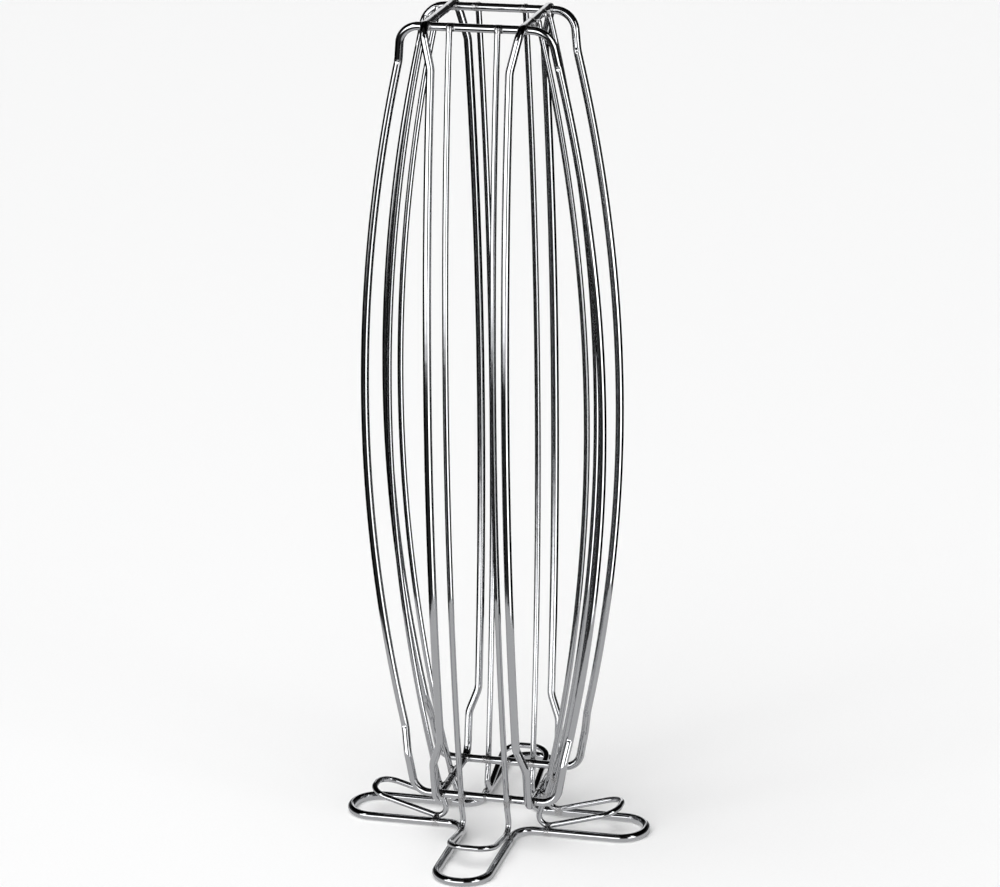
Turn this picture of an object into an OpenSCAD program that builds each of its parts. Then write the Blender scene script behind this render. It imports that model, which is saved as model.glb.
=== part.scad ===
// Free-standing wire tower that stores coffee capsules in four upright columns.
// Four heavy wire loops make the rails, four light wire hairpins back them up and end
// in the ledges that catch the lowest capsule, and one flat four-petal ring is the foot.
// Frame: Z up from the table, origin at the centre of the foot, front face towards -Y.

/* [Wire] */
// Diameter of the heavy wire of the loops and the foot ring
frame_wire_d = 3.8; // [3.2:0.1:4.6]
// Diameter of the light wire of the hairpins
pin_wire_d = 2.8; // [2.2:0.1:3.4]

/* [Capsule column] */
// Centre distance of the two rails of a column
rail_gap = 36; // [34:0.5:40]
// Centre distance of parallel bars, at the top and the bottom
bar_gap = 44.6; // [41:0.1:50]
// Height of the front and back loops' bottom bar above the table
bottom_bar_z = 21; // [20.5:0.1:30]
// Distance from bottom bar to top bar
column_h = 367.3; // [250:0.1:450]

/* [Left and right rails] */
// How far outside the bars the rail starts its long bow at the bottom
side_low_over = 17.4; // [13.7:0.1:23.7]
// How far outside the bars the rail ends its long bow at the top
side_high_over = 14.4; // [10.7:0.1:23.7]
// How far the bow stands out from the straight line between its ends
side_bow = 17.6; // [8:0.1:26]
// How far the top corner of the front and back loops stands outside the crossing bar
side_top_over = 11.9; // [10.7:0.1:19.7]
// How far the bottom corner of the front and back loops stands outside the crossing bar
side_bottom_over = 11.7; // [10.7:0.1:19.7]
// Bend radius of the top corners of the front and back loops
side_corner_top_r = 10; // [7:0.5:10]
// Bend radius of the bottom corners of the front and back loops
side_corner_low_r = 8; // [6:0.5:9]

/* [Front and back rails] */
// How far outside the bars the rail starts its long bow at the bottom
front_low_over = 12.9; // [9.7:0.1:19.7]
// How far outside the bars the rail ends its long bow at the top
front_high_over = 10.4; // [7.7:0.1:19.7]
// How far the bow stands out from the straight line between its ends
front_bow = 13.4; // [6:0.1:22]
// How far the top corner of the left and right loops stands outside the crossing bar
front_top_over = 7.2; // [6.7:0.1:13.7]
// How far the bottom corner of the left and right loops stands outside the crossing bar
front_bottom_over = 6.7; // [6.2:0.1:13.7]
// Bend radius of the corners of the left and right loops
front_corner_r = 6.5; // [5:0.5:7]

/* [Joggles] */
// Drop from the top bar to the kink where a rail turns into its long bow
top_kink_drop = 17; // [14:0.5:24]
// Rise from the bottom bar to the lower kink of a rail
low_kink_rise = 19.5; // [15:0.5:24]
// Height of the sideways step between the two bottom kinks
joggle_h = 11.5; // [8:0.5:18]
// Bend radius of the kinks
kink_r = 12; // [5:0.5:14]
// Straight run between a kink and the long bow
kink_straight = 6; // [4:0.5:10]

/* [Hairpins] */
// Centre distance of the two legs of the front and back hairpins
front_pin_gap = 22; // [18:0.5:26]
// Centre distance of the two legs of the left and right hairpins
side_pin_gap = 20; // [18:0.5:26]
// How far a front or back hairpin stands out from the line between its bars
front_pin_bow = 16; // [6:0.1:20]
// How far a left or right hairpin stands out from the line between its bars
side_pin_bow = 21; // [10:0.1:26]
// Straight run of a hairpin leg between a bar and its long bow
pin_straight = 5; // [4:0.5:8]
// Distance below the bottom bar at which a hairpin leg turns further inwards
knee_drop = 4.5; // [4:0.1:5]
// Lean of a hairpin leg towards the axis below the bottom bar, in degrees
foot_lean = 18; // [12:0.5:22]
// Bend radius at the foot of a hairpin leg
foot_r = 4.5; // [3.5:0.1:5]
// Sideways offset from a front or back hairpin leg to the ring wire it is welded on
front_foot_side = 1.5; // [0:0.1:2.8]
// Sideways offset from a left or right hairpin leg to the ring wire it is welded on
side_foot_side = 2.5; // [0:0.1:2.8]

/* [Ledges] */
// Distance from the tower's axis to the tip of the front ledge
front_ledge_out = 54.5; // [46:0.5:62]
// Rise of the front ledge, in degrees
front_ledge_rise = 8.5; // [6:0.5:18]
// Distance from the tower's axis to the tip of the other three ledges
ledge_out = 59.8; // [46:0.1:62]
// Rise of the other three ledges, in degrees
ledge_rise = 16; // [6:0.5:18]
// Bend radius at the tip of a ledge
ledge_tip_r = 8.5; // [6:0.5:8.5]

/* [Foot ring] */
// Distance from the tower's axis to the tip of the front and back petals
front_petal_out = 76.9; // [66:0.1:90]
// Distance from the tower's axis to the tip of the left and right petals
side_petal_out = 71.7; // [66:0.1:90]
// Bend radius at the tip of a petal
petal_tip_r = 12; // [8:0.5:12]
// Bend radius between two petals
petal_root_r = 9; // [6:0.5:9]

/* [Welds] */
// Film of weld metal between a hairpin and the wire it is welded to
weld_film = 0.05; // [0:0.01:0.2]
// How deep the crossing bars are pressed into each other by their weld
cross_set_down = 2.8; // [0:0.1:3]
// Radius of the weld nugget where two heavy wires cross
cross_nugget_r = 3.3; // [2.7:0.1:3.6]
// Height of that nugget
cross_nugget_h = 3; // [2:0.1:3.6]
// Radius of the weld nugget where a hairpin leg crosses a bar
pin_nugget_r = 2; // [1.8:0.1:2.4]
// Depth of that nugget's middle below the middle of the bar
pin_nugget_drop = 0.5; // [0.3:0.1:1]
// Height of a hairpin's cut top end above the middle of the bar it is welded to
pin_top_rise = 1.2; // [0.5:0.1:1.9]
// Radius of the weld nugget under a hairpin's foot
foot_nugget_r = 2; // [1.6:0.1:2.4]
// Width of the butt weld that closes a loop
butt_weld_w = 0.8; // [0.5:0.1:1.2]
// Height by which a butt weld stands proud of its wire
butt_weld_proud = 0.25; // [0.1:0.05:0.4]

/* [Hidden] */
wire_fn = 48;
bend_fn = 256;
metal = "gainsboro";
// The wire thins a hair where it is bent, and a bend reaches a hair into its straight runs.
bend_thinning = 0.02;
bend_overlap = 0.05;
bar_half = bar_gap / 2;
rail_half = rail_gap / 2;
// The left and right bars pass over the front and back bars at the top and under them
// at the bottom, this far apart in height.
stack_h = frame_wire_d - cross_set_down;
top_bar_z = bottom_bar_z + column_h;
// Centre distance of a hairpin wire and the heavy wire it is welded to
pin_seat = (frame_wire_d + pin_wire_d) / 2 + weld_film;
ring_z = frame_wire_d / 2;
front_petal_half = front_pin_gap / 2 + front_foot_side;
side_petal_half = side_pin_gap / 2 + side_foot_side;
// A hairpin foot lies on the ring wire's inner shoulder.
function foot_height(side) = ring_z + sqrt(pow(pin_seat, 2) - pow(side, 2));

// ---- Bent wire: straight runs joined by true bends -------------------------------
// A route is a list of [corner point, bend radius]; its first and last are the cut ends.
function unit(v) = v / norm(v);
function turn_angle(a, b) = acos(max(-1, min(1, a * b)));
function heading(route, i) = unit(route[i + 1][0] - route[i][0]);
function bend_angle(route, i) = turn_angle(heading(route, i - 1), heading(route, i));
function is_end(route, i) = i == 0 || i == len(route) - 1;
function setback(route, i) = is_end(route, i) ? 0 : route[i][1] * tan(bend_angle(route, i) / 2);
function mirrored(route) = [
    for (i = [len(route) - 1:-1:0]) [[-route[i][0].x, route[i][0].y, route[i][0].z], route[i][1]]
];

// Places a child's X, Y and Z along three unit vectors at a point.
module place_axes(x, y, z, at) {
    multmatrix([[x.x, y.x, z.x, at.x], [x.y, y.y, z.y, at.y], [x.z, y.z, z.z, at.z]]) children();
}

module rod(a, b, d) {
    along = unit(b - a);
    helper = abs(along.z) > 0.9 ? [1, 0, 0] : [0, 0, 1];
    side = unit(cross(helper, along));
    place_axes(side, cross(along, side), along, a)
        cylinder(h = norm(b - a), d = d, $fn = wire_fn);
}

module bend(route, i, d) {
    inward = heading(route, i - 1);
    outward = heading(route, i);
    radius = route[i][1];
    to_centre = unit(outward - (outward * inward) * inward);
    start = route[i][0] - inward * setback(route, i);
    overlap = bend_overlap / radius * 180 / PI;
    place_axes(-to_centre, inward, cross(-to_centre, inward), start + radius * to_centre)
        rotate_extrude(angle = bend_angle(route, i) + 2 * overlap, start = -overlap, $fn = bend_fn)
            translate([radius, 0]) circle(d = d - bend_thinning, $fn = wire_fn);
}

module bent_wire(route, d) {
    for (i = [0:len(route) - 2])
        rod(route[i][0] + heading(route, i) * setback(route, i),
            route[i + 1][0] - heading(route, i) * setback(route, i + 1), d);
    for (i = [1:len(route) - 2])
        bend(route, i, d);
}

// ---- Long bow between two points, bulging away from the axis ----------------------
// The legs are straight for a short run at both ends and one arc between them.
function bow_half_turn(a, b, bulge, straight) = 2 * atan(bulge / (norm(b - a) / 2 + straight));
function bow_out(a, b) = unit([b.z - a.z, 0, a.x - b.x]);
function bow_corner(a, b, bulge, straight) =
    let (half = bow_half_turn(a, b, bulge, straight))
    [
        (a + b) / 2 + bow_out(a, b) * norm(b - a) / 2 * tan(half),
        (norm(b - a) / 2 / cos(half) - straight) / tan(half)
    ];

// ---- Loops: drawn as the front loop, with its bars along X ------------------------
// The right side, from the middle of the bottom bar to the middle of the top bar.
function loop_side(low_z, high_z, low_over, high_over, bow, low_corner, top_corner, low_r, top_r) =
    let (
        low_out = bar_half + low_over,
        corner_low = bar_half + low_corner,
        kink_z = bottom_bar_z + low_kink_rise,
        share = (kink_z - low_z) / (kink_z + joggle_h - low_z),
        kink_out = corner_low + (low_out - corner_low) * share,
        bow_low = [low_out, -rail_half, kink_z + joggle_h],
        bow_high = [bar_half + high_over, -rail_half, top_bar_z - top_kink_drop]
    )
    [
        [[corner_low, -bar_half, low_z], low_r],
        [[kink_out, -bar_half, kink_z], kink_r],
        [bow_low, kink_r],
        bow_corner(bow_low, bow_high, bow, kink_straight + kink_r * tan(10)),
        [bow_high, kink_r],
        [[bar_half + top_corner, -bar_half, high_z], top_r]
    ];

function loop_route(side, low_z) =
    let (start = [[butt_weld_w / 2, -bar_half, low_z], 0])
    concat([start], side, mirrored(side), mirrored([start]));

front_side = loop_side(bottom_bar_z, top_bar_z, side_low_over, side_high_over, side_bow,
    side_bottom_over, side_top_over, side_corner_low_r, side_corner_top_r);
side_side = loop_side(bottom_bar_z - stack_h, top_bar_z + stack_h,
    front_low_over, front_high_over, front_bow,
    front_bottom_over, front_top_over, front_corner_r, front_corner_r);
front_route = loop_route(front_side, bottom_bar_z);
side_route = loop_route(side_side, bottom_bar_z - stack_h);

// ---- Hairpins: drawn on the front face, outwards is -Y ----------------------------
// One leg from its cut top end to the tip of the ledge, in [out, across, up]. It lies
// against the outside of both bars, leaning by the slope of its bow.
function leg_route(half, foot_z, low_z, high_z, bulge, out, rise) =
    let (
        low = [0, half, low_z],
        high = [0, half, high_z],
        lean = bow_half_turn(low, high, bulge, pin_straight),
        seat = [bar_half + pin_seat / cos(lean), 0, 0],
        bow = bow_corner(low + seat, high + seat, bulge, pin_straight),
        top = high + seat + [-tan(lean), 0, 1] * pin_top_rise,
        knee = low + seat - [sin(lean), 0, cos(lean)] * knee_drop,
        touch_z = foot_z + foot_r * (1 + sin(foot_lean)),
        touch_out = knee.x - (knee.z - touch_z) * tan(foot_lean),
        reach = foot_r * tan((90 + foot_lean + rise) / 2),
        foot = [touch_out - reach * sin(foot_lean), half, touch_z - reach * cos(foot_lean)],
        tip = [out, half, foot.z + (out - foot.x) * tan(rise)]
    )
    [[top, 0], bow, [knee, kink_r], [foot, foot_r], [tip, ledge_tip_r]];

function pin_route(half, foot_z, low_z, high_z, bulge, out, rise) =
    let (leg = [for (p = leg_route(half, foot_z, low_z, high_z, bulge, out, rise))
        [[p[0].y, -p[0].x, p[0].z], p[1]]])
    concat(leg, mirrored(leg));

front_pin = pin_route(front_pin_gap / 2, foot_height(front_foot_side),
    bottom_bar_z, top_bar_z, front_pin_bow, front_ledge_out, front_ledge_rise);
back_pin = pin_route(front_pin_gap / 2, foot_height(front_foot_side),
    bottom_bar_z, top_bar_z, front_pin_bow, ledge_out, ledge_rise);
side_pin = pin_route(side_pin_gap / 2, foot_height(side_foot_side),
    bottom_bar_z - stack_h, top_bar_z + stack_h, side_pin_bow, ledge_out, ledge_rise);

// ---- Sub-parts: [turn about Z, route] of each face's wires --------------------------
loop_of = [[0, front_route], [180, front_route], [270, side_route], [90, side_route]];
pin_of = [[0, front_pin], [180, back_pin], [270, side_pin], [90, side_pin]];
bar_low = [bottom_bar_z, bottom_bar_z, bottom_bar_z - stack_h, bottom_bar_z - stack_h];
bar_high = [top_bar_z, top_bar_z, top_bar_z + stack_h, top_bar_z + stack_h];
front = 0;
back = 1;
left = 2;
right = 3;

module turned(angle) { rotate([0, 0, angle]) children(); }
module loop(face) {
    turned(loop_of[face][0]) bent_wire(loop_of[face][1], frame_wire_d);
}

// The four stretches of the left and right loops that cross the front and back loops:
// each is a bar with the two corners at its ends.
module crossing_bars(corner_a, corner_b) {
    function halfway(i, j) = [(side_route[i][0] + side_route[j][0]) / 2, 0];
    for (face = [left, right]) turned(loop_of[face][0])
        bent_wire([halfway(corner_a, corner_a - 1), side_route[corner_a],
            side_route[corner_b], halfway(corner_b, corner_b + 1)], frame_wire_d);
}
module top_crossing_bars() { crossing_bars(6, 7); }
module bottom_crossing_bars() { crossing_bars(12, 1); }

// The front and back loops take the set-down of the welds.
module notched_loop(face) {
    color(metal) difference() {
        loop(face);
        top_crossing_bars();
        bottom_crossing_bars();
    }
}
module hairpin(face) {
    color(metal) turned(pin_of[face][0]) bent_wire(pin_of[face][1], pin_wire_d);
}
module front_loop() { notched_loop(front); }
module back_loop() { notched_loop(back); }
module left_loop() { color(metal) loop(left); }
module right_loop() { color(metal) loop(right); }
module front_hairpin() { hairpin(front); }
module back_hairpin() { hairpin(back); }
module left_hairpin() { hairpin(left); }
module right_hairpin() { hairpin(right); }

// The ring starts and ends at the butt weld in the middle of the back petal's tip.
module foot_ring() {
    half = [
        [[butt_weld_w / 2, front_petal_out, ring_z], 0],
        [[front_petal_half, front_petal_out, ring_z], petal_tip_r],
        [[front_petal_half, side_petal_half, ring_z], petal_root_r],
        [[side_petal_out, side_petal_half, ring_z], petal_tip_r],
        [[side_petal_out, -side_petal_half, ring_z], petal_tip_r],
        [[front_petal_half, -side_petal_half, ring_z], petal_root_r],
        [[front_petal_half, -front_petal_out, ring_z], petal_tip_r]
    ];
    color(metal) bent_wire(concat(half, mirrored(half)), frame_wire_d);
}

// ---- Welds: each nugget is a ball less the wires it joins ---------------------------
module straight_bar(z) {
    rod([-bar_gap, -bar_half, z], [bar_gap, -bar_half, z], frame_wire_d);
}

// Where a left or right loop crosses a front or back loop, a ball cut flat above and below
module cross_nuggets(z) {
    for (x = [-1, 1], y = [-1, 1]) translate([x * bar_half, y * bar_half, z])
        rotate_extrude($fn = wire_fn) intersection() {
            circle(r = cross_nugget_r, $fn = wire_fn);
            translate([0, -cross_nugget_h / 2]) square([cross_nugget_r, cross_nugget_h]);
        }
}
module top_cross_welds() {
    color(metal) difference() {
        cross_nuggets(top_bar_z + stack_h / 2);
        for (angle = [0, 180]) turned(angle) straight_bar(top_bar_z);
        top_crossing_bars();
    }
}
module bottom_cross_welds() {
    color(metal) difference() {
        cross_nuggets(bottom_bar_z - stack_h / 2);
        for (angle = [0, 180]) turned(angle) straight_bar(bottom_bar_z);
        bottom_crossing_bars();
    }
}

// Where a hairpin leg, going from corner a to corner b of its route, passes a bar
module pin_nugget(a, b, z) {
    difference() {
        translate([a.x, -bar_half - (frame_wire_d + weld_film) / 2, z - pin_nugget_drop])
            sphere(r = pin_nugget_r, $fn = wire_fn);
        straight_bar(z);
        rod(a - unit(b - a) * 2 * pin_nugget_r, b, pin_wire_d);
    }
}
module pin_welds(first, bar_z) {
    color(metal) for (face = [front:right]) turned(pin_of[face][0]) {
        route = pin_of[face][1];
        last = len(route) - 1;
        pin_nugget(route[first][0], route[first + 1][0], bar_z[face]);
        pin_nugget(route[last - first][0], route[last - first - 1][0], bar_z[face]);
    }
}
module hairpin_top_welds() { pin_welds(0, bar_high); }
module hairpin_bar_welds() { pin_welds(1, bar_low); }

// Between the lowest point of each hairpin leg and the inner shoulder of the foot ring
module foot_nugget(knee, foot, tip, away) {
    lowest = foot[0] + unit(knee[0] - foot[0]) * foot_r
        * tan(turn_angle(unit(foot[0] - knee[0]), unit(tip[0] - foot[0])) / 2)
        - [0, foot_r * cos(foot_lean), 0];
    ring = [foot[0].x + sign(foot[0].x) * away, lowest.y, ring_z];
    pin = [foot[0].x, lowest.y, foot_height(away)];
    difference() {
        translate(ring + unit(pin - ring) * (frame_wire_d + weld_film) / 2)
            sphere(r = foot_nugget_r, $fn = wire_fn);
        rod(ring - [0, 2 * frame_wire_d, 0], ring + [0, 2 * frame_wire_d, 0], frame_wire_d);
        bent_wire([knee, foot, tip], pin_wire_d);
    }
}
module hairpin_foot_welds() {
    color(metal) for (face = [front:right]) turned(pin_of[face][0]) {
        route = pin_of[face][1];
        last = len(route) - 1;
        away = face < left ? front_foot_side : side_foot_side;
        foot_nugget(route[2], route[3], route[4], away);
        foot_nugget(route[last - 2], route[last - 3], route[last - 4], away);
    }
}

// Each closes the gap between the two cut ends of one wire.
module butt_weld(at) {
    translate(at - [butt_weld_w / 2, 0, 0]) rotate([0, 90, 0])
        cylinder(h = butt_weld_w, d = frame_wire_d + 2 * butt_weld_proud, $fn = wire_fn);
}
module loop_butt_welds() {
    color(metal) for (face = [front:right])
        turned(loop_of[face][0]) butt_weld([0, -bar_half, bar_low[face]]);
}

// Ground level underneath, so that the ring rests on its own wire
module ring_butt_weld() {
    color(metal) difference() {
        butt_weld([0, front_petal_out, ring_z]);
        translate([-butt_weld_w, front_petal_out - frame_wire_d, -frame_wire_d])
            cube([2 * butt_weld_w, 2 * frame_wire_d, frame_wire_d]);
    }
}

front_loop();
back_loop();
left_loop();
right_loop();
front_hairpin();
back_hairpin();
left_hairpin();
right_hairpin();
foot_ring();
top_cross_welds();
bottom_cross_welds();
hairpin_top_welds();
hairpin_bar_welds();
hairpin_foot_welds();
loop_butt_welds();
ring_butt_weld();
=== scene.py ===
"""Free-standing chromed wire tower for coffee capsules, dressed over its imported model.

Nine bent wires and their welds. Frame: Z up from the table, front face towards -Y.
Lengths are in millimetres until a mesh is made; MM turns them into metres.
"""

import math

import bmesh
import bpy
from mathutils import Matrix, Vector, noise


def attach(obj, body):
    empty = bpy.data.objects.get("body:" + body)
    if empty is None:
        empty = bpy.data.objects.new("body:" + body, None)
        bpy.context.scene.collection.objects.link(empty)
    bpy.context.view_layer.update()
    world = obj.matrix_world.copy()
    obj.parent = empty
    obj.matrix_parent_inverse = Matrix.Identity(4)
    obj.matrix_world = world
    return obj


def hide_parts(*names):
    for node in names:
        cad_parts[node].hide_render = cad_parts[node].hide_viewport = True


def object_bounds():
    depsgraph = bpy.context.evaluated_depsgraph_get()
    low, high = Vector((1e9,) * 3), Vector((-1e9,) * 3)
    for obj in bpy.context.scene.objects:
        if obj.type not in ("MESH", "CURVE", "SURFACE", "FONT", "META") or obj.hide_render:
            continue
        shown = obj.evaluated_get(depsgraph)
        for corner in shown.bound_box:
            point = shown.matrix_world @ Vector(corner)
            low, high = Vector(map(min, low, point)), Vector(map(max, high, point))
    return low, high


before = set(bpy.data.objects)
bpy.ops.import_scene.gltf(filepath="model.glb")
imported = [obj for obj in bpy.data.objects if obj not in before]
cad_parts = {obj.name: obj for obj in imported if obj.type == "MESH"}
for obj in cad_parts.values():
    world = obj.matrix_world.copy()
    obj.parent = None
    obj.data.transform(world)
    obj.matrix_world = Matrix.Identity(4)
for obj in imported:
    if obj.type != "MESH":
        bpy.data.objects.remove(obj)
frame_box = [list(corner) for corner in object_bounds()]

bl_info = {
    "name": "Capsule tower",
    "version": (1, 0, 0),
    "blender": (4, 5, 0),
    "location": "View3D > Sidebar > Capsule tower",
    "description": "Chromed wire tower that stores coffee capsules in four columns",
    "category": "Object",
}

MM = 0.001
UP = Vector((0, 0, 1))


# ---- Sizes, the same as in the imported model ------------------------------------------
HEAVY_WIRE = 3.8  # loops and foot ring
LIGHT_WIRE = 2.8  # hairpins
BAR_HALF = 22.3  # from the axis to the bars
RAIL_HALF = 18.0  # half the gap between the two rails of a column
BAR_LOW = 21.0  # height of the front and back loops' bottom bars
BAR_HIGH = 388.3  # height of their top bars
CROSS_STEP = 1.0  # the left and right bars lie this far above and below the others
WELD_FILM = 0.05  # weld metal between a hairpin and the wire it sits on
BUTT_GAP = 0.8  # gap between a wire's two ends, which the butt weld fills

# Rails: how far out they start and end, their bow, and the corners of their loop. The
# side rails are the uprights of the front and back loops, and the front rails, which
# stand on the front and back faces, are the uprights of the left and right loops.
SIDE_RAILS = dict(low_out=39.7, high_out=36.7, bow=17.6, corner_low=34.0, corner_top=34.2,
                  low_r=8.0, top_r=10.0)
FRONT_RAILS = dict(low_out=35.2, high_out=32.7, bow=13.4, corner_low=29.0, corner_top=29.5,
                   low_r=6.5, top_r=6.5)
TOP_KINK_DROP = 17.0  # from the top bar to the kink where a rail's long bow ends
LOW_KINK_RISE = 19.5  # from the bottom bar to the lower kink
JOGGLE_HEIGHT = 11.5  # height of the sideways step between the two bottom kinks
KINK_R = 12.0
KINK_HALF_TURN = math.radians(10)  # half the sharpest turn that a kink has room for
KINK_STRAIGHT = 6.0  # straight run between a kink and the long bow

# Hairpins: half the leg gap, offset to the ring wire, bow, and the ledge's reach and rise
FRONT_PIN = dict(half=11.0, aside=1.5, bulge=16.0, out=54.5, rise=math.radians(8.5))
BACK_PIN = dict(half=11.0, aside=1.5, bulge=16.0, out=59.8, rise=math.radians(16))
SIDE_PIN = dict(half=10.0, aside=2.5, bulge=21.0, out=59.8, rise=math.radians(16))
PIN_OVER = 1.2  # a leg's cut end stands this far above the middle of the top bar
PIN_STRAIGHT = 5.0  # straight run between a bar and the long bow
KNEE_DROP = 4.5  # from the bottom bar to the bend where a leg turns further inwards
FOOT_R = 4.5
FOOT_LEAN = math.radians(18)
LEDGE_TIP_R = 8.5

# Petals of the foot ring
SIDE_PETAL_OUT, FRONT_PETAL_OUT = 71.7, 76.9
PETAL_HALF = 12.5
PETAL_TIP_R = 12.0
PETAL_ROOT_R = 9.0

# Each face: its turn from the front in degrees, how its loop's uprights and its hairpin
# are bent, and how far its bars stand above and below the front and back loops' bars
FACES = {
    "front": (0, SIDE_RAILS, FRONT_PIN, 0),
    "back": (180, SIDE_RAILS, BACK_PIN, 0),
    "left": (270, FRONT_RAILS, SIDE_PIN, CROSS_STEP),
    "right": (90, FRONT_RAILS, SIDE_PIN, CROSS_STEP),
}


# ---- Routes: lists of (corner point, bend radius) from one cut end to the other --------
def in_mm(length):
    """A length setting, which is kept in metres, in millimetres."""
    return round(length / MM, 4)


def spin_by(degrees):
    return Matrix.Rotation(math.radians(degrees), 3, "Z")


def turned(route, degrees):
    return [(spin_by(degrees) @ point, bend) for point, bend in route]


def mirrored(route):
    """The same route on the other side of the YZ plane, walked backwards."""
    return [(Vector((-point.x, point.y, point.z)), bend) for point, bend in reversed(route)]


def bow_half_turn(a, b, bulge, straight):
    """Half the angle that a long bow from a to b turns the wire by."""
    return 2 * math.atan(bulge / ((b - a).length / 2 + straight))


def bow_corner(a, b, bulge, straight):
    """One huge bend, so that the wire bulges by that much from the line between a and b."""
    half = bow_half_turn(a, b, bulge, straight)
    out = Vector((b.z - a.z, 0, a.x - b.x)).normalized()
    reach = (b - a).length / 2
    bend = (reach / math.cos(half) - straight) / math.tan(half)
    return (a + b) / 2 + out * reach * math.tan(half), bend


def loop_route(rails, step):
    """A loop drawn as the front one: from the middle of its bottom bar all the way round."""
    low_z, high_z = BAR_LOW - step, BAR_HIGH + step
    kink_z = BAR_LOW + LOW_KINK_RISE
    share = (kink_z - low_z) / (kink_z + JOGGLE_HEIGHT - low_z)
    kink_out = rails["corner_low"] + (rails["low_out"] - rails["corner_low"]) * share
    low = Vector((rails["low_out"], -RAIL_HALF, kink_z + JOGGLE_HEIGHT))
    high = Vector((rails["high_out"], -RAIL_HALF, BAR_HIGH - TOP_KINK_DROP))
    straight = KINK_STRAIGHT + KINK_R * math.tan(KINK_HALF_TURN)
    side = [
        (Vector((BUTT_GAP / 2, -BAR_HALF, low_z)), 0),
        (Vector((rails["corner_low"], -BAR_HALF, low_z)), rails["low_r"]),
        (Vector((kink_out, -BAR_HALF, kink_z)), KINK_R),
        (low, KINK_R),
        bow_corner(low, high, rails["bow"], straight),
        (high, KINK_R),
        (Vector((rails["corner_top"], -BAR_HALF, high_z)), rails["top_r"]),
    ]
    return side + mirrored(side)


BOW_ENDS = (3, 5, 8, 10)  # the corners in a loop's route where its two long bows end


def foot_height(aside, heavy, light):
    """Height of a hairpin's lowest point: it lies on the ring wire's inner shoulder."""
    seat = (heavy + light) / 2 + WELD_FILM
    return heavy / 2 + math.sqrt(seat**2 - aside**2)


def hairpin_route(pin, step, heavy, light):
    """A hairpin drawn on the front face: down one leg, round the ledge and up the other."""
    low, high = Vector((0, 0, BAR_LOW - step)), Vector((0, 0, BAR_HIGH + step))
    lean = bow_half_turn(low, high, pin["bulge"], PIN_STRAIGHT)
    seat = Vector((BAR_HALF + ((heavy + light) / 2 + WELD_FILM) / math.cos(lean), 0, 0))
    knee = low + seat - Vector((math.sin(lean), 0, math.cos(lean))) * KNEE_DROP
    touch_z = foot_height(pin["aside"], heavy, light) + FOOT_R * (1 + math.sin(FOOT_LEAN))
    touch_out = knee.x - (knee.z - touch_z) * math.tan(FOOT_LEAN)
    reach = FOOT_R * math.tan((math.pi / 2 + FOOT_LEAN + pin["rise"]) / 2)
    foot = Vector((
        touch_out - reach * math.sin(FOOT_LEAN), 0, touch_z - reach * math.cos(FOOT_LEAN),
    ))
    tip_z = foot.z + (pin["out"] - foot.x) * math.tan(pin["rise"])
    leg = [
        (high + seat + Vector((-math.tan(lean), 0, 1)) * PIN_OVER, 0),
        bow_corner(low + seat, high + seat, pin["bulge"], PIN_STRAIGHT),
        (knee, KINK_R),
        (foot, FOOT_R),
        (Vector((pin["out"], 0, tip_z)), LEDGE_TIP_R),
    ]
    leg = [(Vector((pin["half"], -point.x, point.z)), bend) for point, bend in leg]
    return leg + mirrored(leg)


def ring_route(heavy):
    """The foot ring, from the middle of the back petal's tip all the way round."""
    half = [
        (BUTT_GAP / 2, FRONT_PETAL_OUT, 0),
        (PETAL_HALF, FRONT_PETAL_OUT, PETAL_TIP_R),
        (PETAL_HALF, PETAL_HALF, PETAL_ROOT_R),
        (SIDE_PETAL_OUT, PETAL_HALF, PETAL_TIP_R),
        (SIDE_PETAL_OUT, -PETAL_HALF, PETAL_TIP_R),
        (PETAL_HALF, -PETAL_HALF, PETAL_ROOT_R),
        (PETAL_HALF, -FRONT_PETAL_OUT, PETAL_TIP_R),
    ]
    half = [(Vector((x, y, heavy / 2)), bend) for x, y, bend in half]
    return half + mirrored(half)


# ---- Centrelines and tubes -----------------------------------------------------------
HEAVY_SIDES, LIGHT_SIDES = 32, 28  # facets round a wire
LONG_STEP = 10.0  # longest step along a straight run
END_STEP = 0.5  # short step at both its ends, which keeps the shading of bends off it
BEND_STEP = math.radians(3)  # most that a step in a bend turns the wire
BOW_STEP = 6.0  # longest step in a bend
CUT_EDGE_R = 0.35  # rounding of the cut ends that show
CUT_RINGS = (0, 0.05, 0.12, 0.22, 0.36)  # how far from the cut its rounding is drawn
NIP_LENGTH, NIP_WIDTH = 1.3, 1.25  # half the length and width of a press mark
NIP_STEP, NIP_MARGIN = 0.25, 2.0  # step along the wire in and round a press mark
OFF_WIRE = 5.0  # a weld or a mark further than this from its wire is a mistake


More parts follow.
